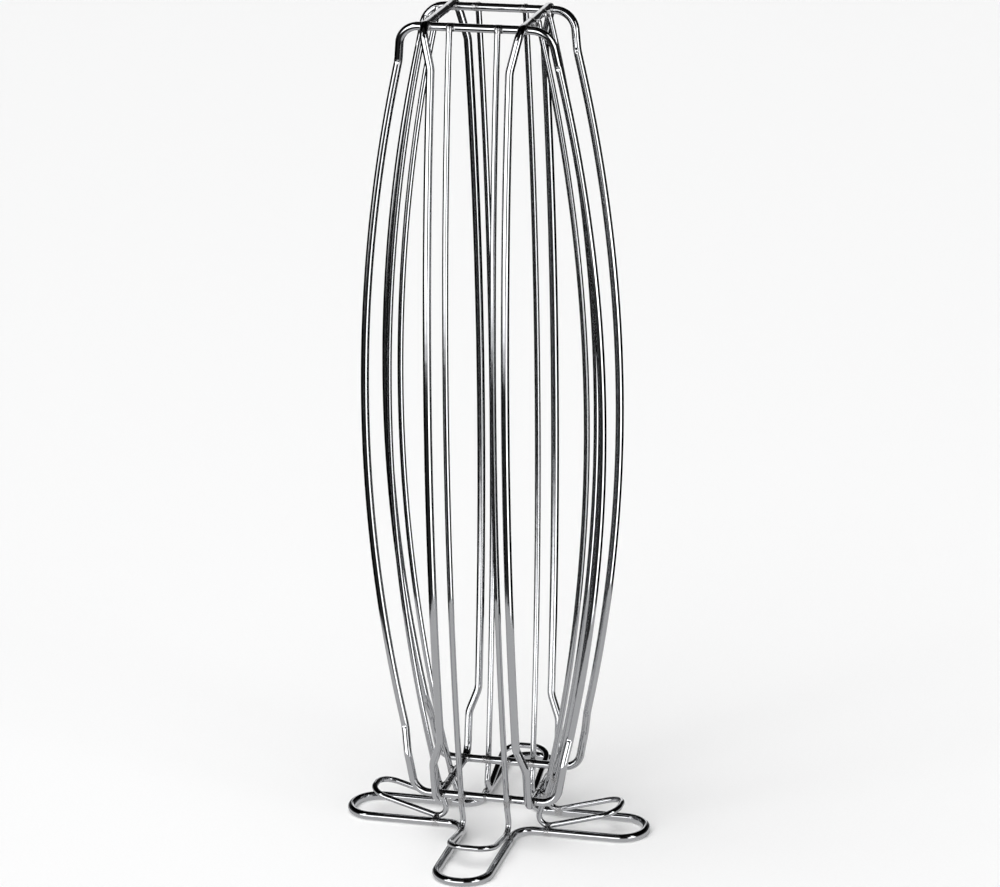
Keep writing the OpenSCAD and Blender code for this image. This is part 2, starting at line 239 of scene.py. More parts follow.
def centreline(route):
    """Points along a route with the wire's heading at each one, close together in bends."""
    line = []

    def run_to(point, heading):
        gap = point - line[-1][0] if line else Vector()
        if gap.dot(heading) < -END_STEP:
            raise ValueError("Two bends of a wire run into each other")
        if gap.length > 3 * END_STEP:
            start, far = line[-1][0], gap.length
            steps = max(1, math.ceil((far - 2 * END_STEP) / LONG_STEP))
            for k in range(steps + 1):
                reach = END_STEP + (far - 2 * END_STEP) * k / steps
                line.append((start + heading * reach, heading))
        line.append((point, heading))

    run_to(route[0][0], (route[1][0] - route[0][0]).normalized())
    for (before, _), (corner, bend), (after, _) in zip(route, route[1:], route[2:]):
        inward, outward = (corner - before).normalized(), (after - corner).normalized()
        turn = inward.angle(outward)
        to_centre = (outward - inward * outward.dot(inward)).normalized()
        start = corner - inward * bend * math.tan(turn / 2)
        run_to(start, inward)
        steps = max(3, math.ceil(turn / BEND_STEP), math.ceil(turn * bend / BOW_STEP))
        for k in range(1, steps + 1):
            a = turn * k / steps
            line.append((
                start + (inward * math.sin(a) + to_centre * (1 - math.cos(a))) * bend,
                inward * math.cos(a) + to_centre * math.sin(a),
            ))
    run_to(route[-1][0], (route[-1][0] - route[-2][0]).normalized())
    return line


def lengths(line):
    """How far along the wire each point of a centreline is."""
    total, along = 0, [0]
    for (a, _), (b, _) in zip(line, line[1:]):
        total += (b - a).length
        along.append(total)
    return along


def nearest(line, point):
    """How far along a centreline its nearest spot to a point is."""
    best, along = (math.inf, 0), lengths(line)
    for (a, _), (b, _), s in zip(line, line[1:], along):
        share = min(1, max(0, (point - a).dot(b - a) / max((b - a).length_squared, 1e-12)))
        gap = (a.lerp(b, share) - point).length
        best = min(best, (gap, s + (b - a).length * share))
    if best[0] > OFF_WIRE:
        raise ValueError("A weld or a press mark lies off its wire")
    return best[1]


def refined(line, spots):
    """The same centreline with its points close together round each spot along it."""
    fine = [line[0]]
    for (a, heading_a), (b, heading_b), s in zip(line, line[1:], lengths(line)):
        span = (b - a).length
        close = any(s - NIP_MARGIN < spot < s + span + NIP_MARGIN for spot in spots)
        steps = max(1, math.ceil(span / NIP_STEP)) if close else 1
        for k in range(1, steps + 1):
            heading = heading_a.lerp(heading_b, k / steps).normalized()
            fine.append((a.lerp(b, k / steps), heading))
    return fine


def tube(build, line, radius, sides, uv_layer=None, unit=MM):
    """Sweeps a round section along a centreline into a bmesh and closes both ends.

    radius(along, way) gives the section's radius there, towards the unit vector way.
    """
    along = lengths(line)
    heading = line[0][1]
    across = heading.cross(UP if abs(heading.z) < 0.9 else Vector((1, 0, 0))).normalized()
    rings = []
    for (point, now), s in zip(line, along):
        across = heading.rotation_difference(now) @ across
        across = (across - now * across.dot(now)).normalized()
        heading, up = now, now.cross(across)
        ring = []
        for k in range(sides):
            a = 2 * math.pi * k / sides
            way = across * math.cos(a) + up * math.sin(a)
            ring.append(build.verts.new((point + way * radius(s, way)) * unit))
        rings.append(ring)
    girth = 2 * math.pi * radius(along[-1] / 2, across)
    for i, (low, high) in enumerate(zip(rings, rings[1:])):
        for k in range(sides):
            after = (k + 1) % sides
            face = build.faces.new((low[k], low[after], high[after], high[k]))
            face.smooth = True
            if uv_layer:
                spots = ((k, i), (k + 1, i), (k + 1, i + 1), (k, i + 1))
                for corner, (u, v) in zip(face.loops, spots):
                    corner[uv_layer].uv = (girth * u / sides * MM, along[v] * MM)
    for ring in (rings[0][::-1], rings[-1]):
        build.faces.new(ring).smooth = False


def to_object(build, name, finish):
    """Turns a bmesh into an object with one material."""
    if not build.faces:
        raise RuntimeError(name + " came out empty")
    build.normal_update()
    mesh = bpy.data.meshes.new(name)
    build.to_mesh(mesh)
    build.free()
    mesh.materials.append(finish)
    piece = bpy.data.objects.new(name, mesh)
    bpy.context.collection.objects.link(piece)
    return piece


def place(piece, node):
    """Hangs the piece on the root body and hides the imported node that it replaces."""
    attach(piece, "root")
    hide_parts(node)


def wire(name, route, diameter, sides, nips=(), cut_ends=False):
    """Bends one wire. nips are press marks, each (point, way it faces, depth), and
    cut_ends rounds the edges of both ends, where no weld hides them.
    """
    line = centreline(route)
    total = lengths(line)[-1]
    plain = diameter / 2
    nips = [(nearest(line, point), way.normalized(), depth) for point, way, depth in nips]
    if nips:
        line = refined(line, {nip[0] for nip in nips})

    def radius(s, way):
        r = plain
        for at, faces, depth in nips:
            far = abs(s - at) / NIP_LENGTH
            if far < 1:
                off = way.angle(faces) * plain / NIP_WIDTH
                r -= depth * max(0, 1 - off * off) ** 2 * (1 - far * far) ** 2
        edge = CUT_EDGE_R - min(s, total - s)
        if cut_ends and edge > 0:
            r -= CUT_EDGE_R - math.sqrt(max(0, CUT_EDGE_R**2 - edge**2))
        return r

    if cut_ends:
        first, last = (
            [(point + heading * sign * far, heading) for far in CUT_RINGS]
            for (point, heading), sign in ((line[0], 1), (line[-1], -1))
        )
        line = first + line[2:-2] + last[::-1]
    build = bmesh.new()
    tube(build, line, radius, sides, build.loops.layers.uv.new("drawn_wire"))
    return to_object(build, name, finish_of(bright_chrome_on_drawn_wire))


# ---- Weld beads ------------------------------------------------------------------------
# Half the stretch of wire that a bead covers
CROSS_REACH, BAR_REACH, LEG_REACH = 3.6, 2.8, 2.6
# Squeezed-out metal: half its width, and half its thickness between the two wires
CROSS_LUMP, BAR_LUMP, FOOT_LUMP = (3.0, 1.55), (1.75, 1.35), (1.75, 1.2)
BAR_LUMP_DROP = 0.4  # below the middle of the bar
CUT_CLEAR = 0.45  # a bead stays this far from a leg's cut end
SLEEVE_STEP = 0.35
SLEEVE_SINK = 0.22  # how deep a bead's ends sink into the wire
VOXEL = 0.2
SOFTEN_TIMES = 16
UNEVEN = 0.14  # most that a bead's skin rises or sinks
UNEVEN_COARSE, UNEVEN_FINE = 0.55, 1.5  # humps to the millimetre
BOX_CLEAR = 0.04  # a bead stays this far inside the tower's top and bottom

# Butt welds: half the length, the step, the bulge and its width, and how the ends sink
BUTT_HALF, BUTT_STEP = 1.0, 0.1
BUTT_BULGE, BUTT_BULGE_HALF = 0.2, 0.42
BUTT_SINK = 0.12
BUTT_UNEVEN = 0.5  # most that the bulge varies round the wire, as a share of it
BUTT_SIDES = 40


def sleeve(build, route, near, reach, diameter, swell, trim=0.0):
    """A short thickened stretch of a wire. It sinks into the wire towards its ends."""
    line = centreline(route)
    along = lengths(line)
    middle = nearest(line, near)
    first, last = max(middle - reach, trim), min(middle + reach, along[-1] - trim)
    short, i = [], 0
    steps = math.ceil((last - first) / SLEEVE_STEP)
    for k in range(steps + 1):
        s = first + (last - first) * k / steps
        while i < len(along) - 2 and along[i + 1] < s:
            i += 1
        share = (s - along[i]) / max(along[i + 1] - along[i], 1e-9)
        (a, heading_a), (b, heading_b) = line[i], line[i + 1]
        short.append((a.lerp(b, share), heading_a.lerp(heading_b, share).normalized()))

    def radius(s, way):
        t = (s + first - middle) / reach
        return diameter / 2 + swell * (1 - t * t) - SLEEVE_SINK * t**4

    tube(build, short, radius, HEAVY_SIDES, unit=1)


def lump(build, centre, out, size):
    """Squeezed-out metal: a ball flattened along the unit vector out."""
    flat = Matrix.Diagonal((size[0], size[0], size[1], 1))
    turn = out.to_track_quat("Z", "Y").to_matrix().to_4x4()
    bmesh.ops.create_icosphere(
        build, subdivisions=3, radius=1, matrix=Matrix.Translation(centre) @ turn @ flat)


def beads(build, name, seed):
    """Fuses overlapping stretches and lumps into closed beads with soft fillets between the
    wires, then gives them the uneven skin of metal that froze after the squeeze.
    """
    mesh = bpy.data.meshes.new(name)
    build.to_mesh(mesh)
    build.free()
    raw = bpy.data.objects.new(name + "_raw", mesh)
    bpy.context.collection.objects.link(raw)
    fuse = raw.modifiers.new("fuse", "REMESH")
    fuse.mode, fuse.voxel_size = "VOXEL", VOXEL
    soften = raw.modifiers.new("soften", "SMOOTH")
    soften.factor, soften.iterations = 0.5, SOFTEN_TIMES
    fused = raw.evaluated_get(bpy.context.evaluated_depsgraph_get())
    ready = bpy.data.meshes.new_from_object(fused)
    bpy.data.objects.remove(raw)
    skin = bmesh.new()
    skin.from_mesh(ready)
    bpy.data.meshes.remove(ready)
    skin.normal_update()
    shift = Vector((seed * 7.3, seed * 3.1, seed * 5.7))
    lowest, highest = frame_box[0][2] + BOX_CLEAR * MM, frame_box[1][2] - BOX_CLEAR * MM
    for vert in skin.verts:
        coarse = noise.noise(vert.co * UNEVEN_COARSE + shift)
        fine = noise.noise(vert.co * UNEVEN_FINE + shift)
        vert.co = (vert.co + vert.normal * (coarse * 0.7 + fine * 0.3) * UNEVEN) * MM
        vert.co.z = min(max(vert.co.z, lowest), highest)
    for face in skin.faces:
        face.smooth = True
    return to_object(skin, name, finish_of(chrome_over_weld_bead))


def butt_bead(build, at, heading, heavy, on_table=False):
    """The low collar that is left where a wire's two ends were pressed together hot.

    on_table flattens it where it would reach below the table.
    """
    line = [
        (at + heading * (BUTT_STEP * k - BUTT_HALF), heading)
        for k in range(round(2 * BUTT_HALF / BUTT_STEP) + 1)
    ]

    def radius(s, way):
        t = s - BUTT_HALF
        proud = BUTT_BULGE * math.exp(-((t / BUTT_BULGE_HALF) ** 2)) - BUTT_SINK * t * t
        if proud > 0:
            proud *= 1 + BUTT_UNEVEN * noise.noise(way * 1.6 + at * 0.3)
        r = heavy / 2 + proud
        return min(r, heavy / 2 / max(-way.z, 1e-6)) if on_table else r

    tube(build, line, radius, BUTT_SIDES)


# ---- Finishes ------------------------------------------------------------------------
# Patterns, as how many of them go to a metre
DIE_LINES = (2000, 40, 1)  # 0.5 mm wide and 25 mm long
WIRE_SWELL = 160.0  # 6 mm from crest to crest
PLATE_HAZE = 65.0  # patches 15 mm across
BEAD_RIPPLES = 1100.0  # ripples of 0.9 mm, with pits of a third of that
PAPER_GRAIN = 900.0  # 1.1 mm
TABLE_MOTTLE = 12.0  # clouds 80 mm across


def linear(hex_colour):
    """Linear red, green and blue of an sRGB hex colour, with alpha 1."""
    parts = [int(hex_colour[i : i + 2], 16) / 255 for i in (0, 2, 4)]
    return tuple(c / 12.92 if c <= 0.04045 else ((c + 0.055) / 1.055) ** 2.4 for c in parts) + (1,)


def add(tree, kind, settings=None, **inputs):
    """Adds a node. settings are its own, among them stops, a ramp's (place, level) pairs,
    and inputs are values or sockets, by the input's name or by n and its number.
    """
    node = tree.nodes.new(kind)
    for key, value in (settings or {}).items():
        if key != "stops":
            setattr(node, key, value)
            continue
        ramp = node.color_ramp.elements
        while len(ramp) > 1:
            ramp.remove(ramp[0])
        for i, (spot, level) in enumerate(value):
            stop = ramp.new(spot) if i else ramp[0]
            stop.position = spot
            stop.color = (level, level, level, 1)
    for key, value in inputs.items():
        by_number = key[0] == "n" and key[1:].isdigit()
        socket = node.inputs[int(key[1:]) if by_number else key.replace("_", " ")]
        if isinstance(value, bpy.types.NodeSocket):
            tree.links.new(value, socket)
        else:
            socket.default_value = value
    return node


def finish_of(maker):
    """The material named after maker(tree, looks), which is made on first use."""
    finish = bpy.data.materials.get(maker.__name__)
    if not finish:
        finish = bpy.data.materials.new(maker.__name__)
        finish.use_nodes = True
        tree = finish.node_tree
        tree.nodes.clear()
        shader = maker(tree, bpy.context.scene.capsule_tower_finish)
        add(tree, "ShaderNodeOutputMaterial", Surface=shader.outputs[0])
    return finish


def bright_chrome_on_drawn_wire(tree, looks):
    """Bright nickel-chrome plate, as it comes from the bath, on cold-drawn steel wire."""
    # The eye sees a nearly clean mirror that is only as wide as the wire: white cores and
    # black edges that run along it, a little frayed, over a cool grey.
    uv = add(tree, "ShaderNodeUVMap", {"uv_map": "drawn_wire"})
    # The drawing die leaves lines about 0.05 mm wide and centimetres long. They are drawn
    # ten times as wide here, because finer ones would not show.
    stretch = add(tree, "ShaderNodeMapping", Vector=uv.outputs["UV"], Scale=DIE_LINES)
    die_lines = add(tree, "ShaderNodeTexNoise", Vector=stretch.outputs["Vector"],
                    Scale=1.0, Detail=2.0, Roughness=0.5)
    # The plate follows the wire's slow unevenness, which makes the streaks waver.
    spots = add(tree, "ShaderNodeTexCoord")
    swell = add(tree, "ShaderNodeTexNoise", Vector=spots.outputs["Object"],
                Scale=WIRE_SWELL, Detail=1.0, Roughness=0.4)
    lined = add(tree, "ShaderNodeBump", Height=die_lines.outputs["Fac"],
                Strength=0.04, Distance=0.02 * MM)
    wavy = add(tree, "ShaderNodeBump", Height=swell.outputs["Fac"],
               Normal=lined.outputs["Normal"], Strength=0.35, Distance=0.08 * MM)
    # Handling leaves a faint haze in patches, a touch duller and darker than clean plate.
    haze = add(tree, "ShaderNodeTexNoise", Vector=spots.outputs["Object"],
               Scale=PLATE_HAZE, Detail=4.0, Roughness=0.6)
    rough = add(tree, "ShaderNodeMapRange", Value=haze.outputs["Fac"], n1=0.35, n2=0.75,
                n3=looks.chrome_roughness, n4=looks.chrome_roughness + looks.haze_roughness)
    tint = add(tree, "ShaderNodeMix", {"data_type": "RGBA"}, n0=haze.outputs["Fac"],
               n6=looks.plate_colour, n7=looks.haze_colour)
    return add(tree, "ShaderNodeBsdfPrincipled", Base_Color=tint.outputs[2], Metallic=1.0,
               Roughness=rough.outputs["Result"], Normal=wavy.outputs["Normal"])


def chrome_over_weld_bead(tree, looks):
    """The same plate over resistance-weld beads that were never ground."""
    # The eye sees a duller knot of broken glints between two bright wires, because the
    # metal froze in ripples and pits of 0.3 to 1 mm.
    spots = add(tree, "ShaderNodeTexCoord")
    ripples = add(tree, "ShaderNodeTexNoise", Vector=spots.outputs["Object"],
                  Scale=BEAD_RIPPLES, Detail=3.0, Roughness=0.6)
    rough = add(tree, "ShaderNodeMapRange", Value=ripples.outputs["Fac"], n1=0.3, n2=0.7,
                n3=looks.bead_roughness, n4=looks.bead_roughness + 0.2)
    tint = add(tree, "ShaderNodeMix", {"data_type": "RGBA"}, n0=ripples.outputs["Fac"],
               n6=looks.bead_colour, n7=looks.pit_colour)
    bump = add(tree, "ShaderNodeBump", Height=ripples.outputs["Fac"],
               Strength=0.5, Distance=0.15 * MM)
    return add(tree, "ShaderNodeBsdfPrincipled", Base_Color=tint.outputs[2], Metallic=1.0,
               Roughness=rough.outputs["Result"], Normal=bump.outputs["Normal"])


def matt_studio_paper(tree, looks):
    """Uncoated white background paper, pulped and rolled."""
    # The eye sees an even, nearly white ground with no shine. The fibres, 0.1 mm and
    # less across, are drawn as a faint grain ten times as coarse.
    spots = add(tree, "ShaderNodeTexCoord")
    grain = add(tree, "ShaderNodeTexNoise", Vector=spots.outputs["Object"],
                Scale=PAPER_GRAIN, Detail=2.0)
    tint = add(tree, "ShaderNodeMix", {"data_type": "RGBA"}, n0=grain.outputs["Fac"],
               n6=looks.paper_grain_colour, n7=looks.paper_colour)
    return add(tree, "ShaderNodeBsdfPrincipled", Base_Color=tint.outputs[2],
               Roughness=0.9, Specular_IOR_Level=0.1)


def painted_lit_table_top(tree, looks):
    """Matt grey board, painted with a roller.

    Painted light: no lamp lights it. It glows by itself with a lit board's brightness, and only
    the wires' reflections show it.
    """
    # The eye sees the even mid grey that fills the lower flank of each wire. It is a painted
    # reflection of a lit board.
    spots = add(tree, "ShaderNodeTexCoord")
    mottle = add(tree, "ShaderNodeTexNoise", Vector=spots.outputs["Object"],
                 Scale=TABLE_MOTTLE, Detail=2.0)
    tint = add(tree, "ShaderNodeMix", {"data_type": "RGBA"}, n0=mottle.outputs["Fac"],
               n6=looks.table_painted_light_cloud_colour, n7=looks.table_painted_light_colour)
    # Painted light: the board's colour and clouds are emitted, not lit by a lamp.
    return add(tree, "ShaderNodeEmission", Color=tint.outputs[2], Strength=1.05)


# ---- Settings ------------------------------------------------------------------------
class CapsuleTowerSizes(bpy.types.PropertyGroup):
    """Sizes of the wires, the weld beads and the press marks"""
    heavy_wire: bpy.props.FloatProperty(
        name="Heavy wire", description="Diameter of the wire of the loops and the foot ring",
        default=HEAVY_WIRE * MM, min=0.0032, max=0.0046, unit="LENGTH")
    light_wire: bpy.props.FloatProperty(
        name="Light wire", description="Diameter of the wire of the hairpins",
        default=LIGHT_WIRE * MM, min=0.0022, max=0.0034, unit="LENGTH")
    bead_swell: bpy.props.FloatProperty(
        name="Bead swell", description="How far a weld bead stands proud of its wires",
        default=0.00012, min=0.0, max=0.0006, unit="LENGTH")
    mark_depth: bpy.props.FloatProperty(
        name="Press mark depth", description="Depth of the marks that the bending tool leaves",
        default=0.00045, min=0.0, max=0.0006, unit="LENGTH")


class CapsuleTowerFinish(bpy.types.PropertyGroup):
    """Colours and roughness of the plate, the floor and the table"""
    chrome_roughness: bpy.props.FloatProperty(
        name="Chrome roughness", description="Roughness of the clean plate",
        default=0.045, min=0.01, max=0.4, subtype="FACTOR")
    haze_roughness: bpy.props.FloatProperty(
        name="Haze", description="How much rougher the plate is where it was handled",
        default=0.09, min=0.0, max=0.4, subtype="FACTOR")
    bead_roughness: bpy.props.FloatProperty(
        name="Bead roughness", description="Roughness of the smoothest part of a weld bead",
        default=0.14, min=0.01, max=0.6, subtype="FACTOR")
    plate_colour: bpy.props.FloatVectorProperty(
        name="Plate", description="Colour of the clean plate",
        default=linear("CBCCCE"), size=4, min=0, max=1, subtype="COLOR")
    haze_colour: bpy.props.FloatVectorProperty(
        name="Hazy plate", description="Colour of the plate where it was handled",
        default=linear("C1C2C5"), size=4, min=0, max=1, subtype="COLOR")
    bead_colour: bpy.props.FloatVectorProperty(
        name="Bead", description="Colour of the plate on the weld beads",
        default=linear("C6C6C8"), size=4, min=0, max=1, subtype="COLOR")
    pit_colour: bpy.props.FloatVectorProperty(
        name="Bead pits", description="Colour of the plate in the pits of the weld beads",
        default=linear("A9A8A8"), size=4, min=0, max=1, subtype="COLOR")
    paper_colour: bpy.props.FloatVectorProperty(
        name="Paper", description="Colour of the floor",
        default=linear("FAFAFA"), size=4, min=0, max=1, subtype="COLOR")
    paper_grain_colour: bpy.props.FloatVectorProperty(
        name="Paper grain", description="Colour of the floor's grain",
        default=linear("F4F4F4"), size=4, min=0, max=1, subtype="COLOR")
    # The table's two colours are painted light: the glow that a lit grey board would have, with
    # darker clouds in it.
    table_painted_light_colour: bpy.props.FloatVectorProperty(
        name="Table", description="Colour of the table that the wires mirror",
        default=linear("CCCCCC"), size=4, min=0, max=1, subtype="COLOR")
    table_painted_light_cloud_colour: bpy.props.FloatVectorProperty(
        name="Table clouds", description="Colour of the darker clouds on that table",
        default=linear("C4C4C4"), size=4, min=0, max=1, subtype="COLOR")


class CapsuleTowerStage(bpy.types.PropertyGroup):
    """Where the camera stands, and the size and strength of the set"""
    distance: bpy.props.FloatProperty(
        name="Camera distance", description="From the camera to the middle of the tower",
        default=1.8428, min=0.5, max=6, unit="LENGTH")
    azimuth: bpy.props.FloatProperty(
        name="Camera azimuth", description="Turn of the camera round the tower from its front",
        default=math.radians(14.557), subtype="ANGLE")
    elevation: bpy.props.FloatProperty(
        name="Camera elevation", description="Angle by which the camera looks down",
        default=math.radians(17.76), subtype="ANGLE")
    floor_reach: bpy.props.FloatProperty(
        name="Floor reach", description="Radius of the floor",
        default=9.0, min=1, max=30, unit="LENGTH")
    table_reach: bpy.props.FloatProperty(
        name="Table reach", description="Radius of the table that the wires mirror",
        default=0.27, min=0.1, max=3, unit="LENGTH")
    overhead_light: bpy.props.FloatProperty(
        name="Overhead light", description="Strength of the cloth over the set",
        default=2.9, min=0, max=10)
    soft_light: bpy.props.FloatProperty(
        name="Soft light", description="Strength of the bright walls round the set",
        default=3.0, min=0, max=10)
    backdrop: bpy.props.FloatVectorProperty(
        name="Backdrop", description="Colour past the edge of the floor",
        default=linear("F6F6F6"), size=4, min=0, max=1, subtype="COLOR")


# ---- Stage ---------------------------------------------------------------------------
AIM = Vector((0, 0, 0.2))  # metres, the point that the camera and the softboxes face
LENS, SENSOR = 144.05, 36
LENS_SHIFT = (0.0071, -0.0239)
CAMERA_ROLL = math.radians(-0.731)
TABLE_DROP = 0.4  # the table lies this far under the floor
BOARD_SIDES = 96  # both are round
# Softboxes: place and size in metres, and watts
SOFTBOXES = (
    ("key_softbox", (-1.6, -1.7, 1.9), (0.5, 0.9), 4.5),
    ("fill_softbox", (1.9, -0.9, 1.5), (0.35, 0.9), 3.0),
)
CLOTH_SPREAD = math.radians(75)
CLOTH_TILT = (math.radians(14), math.radians(-12), 0)

# The set that the wires mirror, as (degrees, level). Round the tower, 0 is the camera's
# side and right is positive; up and down, 0 is level. A wide wall on the left and a narrow
# one on the right draw the white cores, and the dark room between them the black edges.
DARK = 0.008
WALLS_ROUND = (
    (-180, 0.35), (-172, 0.35), (-168, DARK), (-72, DARK), (-64, 1), (-7, 1), (-2, 0.02),
    (26, 0.02), (31, 0.9), (55, 0.9), (61, DARK), (164, DARK), (168, 0.35), (180, 0.35),
)
WALLS_HEIGHT = ((-90, DARK), (-14, DARK), (-8, 1), (19, 1), (25, DARK), (90, DARK))
# A white card leans on the table's edge, to the right of the camera.
CARD_ROUND = ((-180, 0), (17, 0), (21, 1), (52, 1), (57, 0), (180, 0))
CARD_HEIGHT = ((-90, 0), (-44, 0), (-38, 1), (-9, 1), (-7, 0), (90, 0))


def lay_boards(stage):
    """Lays the floor, and under it the small grey table that only reflections show.

    Past the table's edge the wires mirror the dark room.
    """
    # The table is painted light: it glows with a lit board's brightness, and only the wires'
    # reflections see it.
    for name, reach, drop, maker in (
        ("floor", stage.floor_reach, 0, matt_studio_paper),
        ("table_top", stage.table_reach, TABLE_DROP * MM, painted_lit_table_top),
    ):
        build = bmesh.new()
        build.faces.new([
            build.verts.new((reach * math.cos(a), reach * math.sin(a), -drop))
            for a in (2 * math.pi * k / BOARD_SIDES for k in range(BOARD_SIDES))
        ])
        board = to_object(build, name, finish_of(maker))
        mirrored_only = name == "table_top"
        board.visible_glossy = mirrored_only
        board.visible_camera = not mirrored_only
        board.visible_diffuse = board.visible_shadow = not mirrored_only


def set_camera(context, stage):
    back = Vector((
        math.sin(stage.azimuth) * math.cos(stage.elevation),
        -math.cos(stage.azimuth) * math.cos(stage.elevation),
        math.sin(stage.elevation),
    ))
    lens = bpy.data.cameras.new("camera")
    lens.lens, lens.sensor_width = LENS, SENSOR
    lens.shift_x, lens.shift_y = LENS_SHIFT
    lens.clip_start, lens.clip_end = 0.05, 50
    camera = bpy.data.objects.new("camera", lens)
    context.collection.objects.link(camera)
    across = Vector((math.cos(stage.azimuth), math.sin(stage.azimuth), 0))
    across = Matrix.Rotation(CAMERA_ROLL, 3, back) @ across
    axes = Matrix((across, back.cross(across), back)).transposed().to_4x4()
    camera.matrix_world = Matrix.Translation(AIM + back * stage.distance) @ axes
    context.scene.camera = camera


def hang_lights(context, stage):
    for name, spot, size, power in SOFTBOXES:
        box = bpy.data.lights.new(name, "AREA")
        box.shape, box.size, box.size_y, box.energy = "RECTANGLE", *size, power
        light = bpy.data.objects.new(name, box)
        light.location = spot
        light.rotation_euler = (AIM - light.location).to_track_quat("-Z", "Y").to_euler()
        context.collection.objects.link(light)
    # The cloth lights the floor evenly. The wires don't mirror it, so they stay crisp.
    cloth = bpy.data.lights.new("overhead_cloth", "SUN")
    cloth.angle, cloth.energy = CLOTH_SPREAD, stage.overhead_light
    light = bpy.data.objects.new("overhead_cloth", cloth)
    light.rotation_euler = CLOTH_TILT
    light.visible_glossy = False
    context.collection.objects.link(light)


def as_stops(bands, limit):
    """Bands by direction, from -limit to limit degrees, as a ramp's stops from 0 to 1."""
    return [((limit + degrees) / (2 * limit), level) for degrees, level in bands]


def build_room(context, stage):
    """Puts the walls and the card round the tower, as light that comes from far away."""
    world = bpy.data.worlds.new("studio")
    world.use_nodes = True
    context.scene.world = world
    tree = world.node_tree
    tree.nodes.clear()
    way = add(tree, "ShaderNodeTexCoord")
    turn = add(tree, "ShaderNodeMapping", {"vector_type": "POINT"},
               Vector=way.outputs["Generated"], Rotation=(0, 0, -stage.azimuth))
    xyz = add(tree, "ShaderNodeSeparateXYZ", Vector=turn.outputs["Vector"])
    front = add(tree, "ShaderNodeMath", {"operation": "MULTIPLY"}, n0=xyz.outputs["Y"], n1=-1.0)
    azimuth = add(tree, "ShaderNodeMath", {"operation": "ARCTAN2"},
                  n0=xyz.outputs["X"], n1=front.outputs[0])
    height = add(tree, "ShaderNodeMath", {"operation": "ARCSINE"}, n0=xyz.outputs["Z"])
    # Both directions run from 0 to 1, as a ramp's stops do.
    round_set = add(tree, "ShaderNodeMapRange", Value=azimuth.outputs[0], n1=-math.pi, n2=math.pi)
    up_set = add(tree, "ShaderNodeMapRange", Value=height.outputs[0],
                 n1=-math.pi / 2, n2=math.pi / 2)
    lit = []
    for across, up in ((WALLS_ROUND, WALLS_HEIGHT), (CARD_ROUND, CARD_HEIGHT)):
        by_azimuth = add(tree, "ShaderNodeValToRGB", {"stops": as_stops(across, 180)},
                         Fac=round_set.outputs["Result"])
        by_height = add(tree, "ShaderNodeValToRGB", {"stops": as_stops(up, 90)},
                        Fac=up_set.outputs["Result"])
        lit.append(add(
            tree, "ShaderNodeMix", {"data_type": "RGBA", "blend_type": "MULTIPLY"}, n0=1.0,
            n6=by_azimuth.outputs["Color"], n7=by_height.outputs["Color"]))
    walls, card = lit
    light = add(tree, "ShaderNodeMix", {"data_type": "RGBA", "blend_type": "ADD"}, n0=1.0,
                n6=walls.outputs[2], n7=card.outputs[2])
    mirrored_set = add(tree, "ShaderNodeBackground", Color=light.outputs[2],
                       Strength=stage.soft_light)
    backdrop = add(tree, "ShaderNodeBackground", Color=stage.backdrop, Strength=1.0)
    path = add(tree, "ShaderNodeLightPath")
    both = add(tree, "ShaderNodeMixShader", n0=path.outputs["Is Camera Ray"],
               n1=mirrored_set.outputs[0], n2=backdrop.outputs[0])
    add(tree, "ShaderNodeOutputWorld", Surface=both.outputs[0])


# ---- Operators -----------------------------------------------------------------------
class CAPSULETOWER_OT_stage(bpy.types.Operator):
    """Puts up the floor, the camera and the soft light"""
    bl_idname = "capsule_tower.stage"
    bl_label = "Stage"

    def execute(self, context):
        stage = context.scene.capsule_tower_stage
        lay_boards(stage)
        set_camera(context, stage)
        hang_lights(context, stage)
        build_room(context, stage)
        context.scene.view_settings.view_transform = "Standard"
        context.scene.view_settings.look = "None"
        return {"FINISHED"}


class CAPSULETOWER_OT_loops(bpy.types.Operator):
    """Bends the four heavy loops whose uprights are the rails"""
    bl_idname = "capsule_tower.loops"
    bl_label = "Loops"

    def execute(self, context):
        sizes = context.scene.capsule_tower_sizes
        heavy, depth = in_mm(sizes.heavy_wire), in_mm(sizes.mark_depth)
        for face, (angle, rails, _, step) in FACES.items():
            route, spin = loop_route(rails, step), spin_by(angle)
            # The bending fork nips the left and right rails at the ends of their long bow.
            nips = [
                (spin @ route[i][0], spin @ Vector((0, way, 0)), depth)
                for i in BOW_ENDS for way in (-1, 1)
            ] if rails is SIDE_RAILS else []
            loop = wire(face + "_wire_loop", turned(route, angle), heavy, HEAVY_SIDES, nips)
            place(loop, face + "_loop")
        return {"FINISHED"}


class CAPSULETOWER_OT_hairpins(bpy.types.Operator):
    """Bends the four light hairpins that end in the ledges"""
    bl_idname = "capsule_tower.hairpins"
    bl_label = "Hairpins"

    def execute(self, context):
        sizes = context.scene.capsule_tower_sizes
        heavy, light = in_mm(sizes.heavy_wire), in_mm(sizes.light_wire)
        for face, (angle, _, pin, step) in FACES.items():
            route = turned(hairpin_route(pin, step, heavy, light), angle)
            hairpin = wire(face + "_wire_hairpin", route, light, LIGHT_SIDES, cut_ends=True)
            place(hairpin, face + "_hairpin")
        return {"FINISHED"}


class CAPSULETOWER_OT_foot_ring(bpy.types.Operator):
    """Bends the four-petal ring that the tower stands on"""
    bl_idname = "capsule_tower.foot_ring"
    bl_label = "Foot ring"

    def execute(self, context):
        heavy = in_mm(context.scene.capsule_tower_sizes.heavy_wire)
        ring = wire("petal_foot_ring", ring_route(heavy), heavy, HEAVY_SIDES)
        place(ring, "foot_ring")
        return {"FINISHED"}


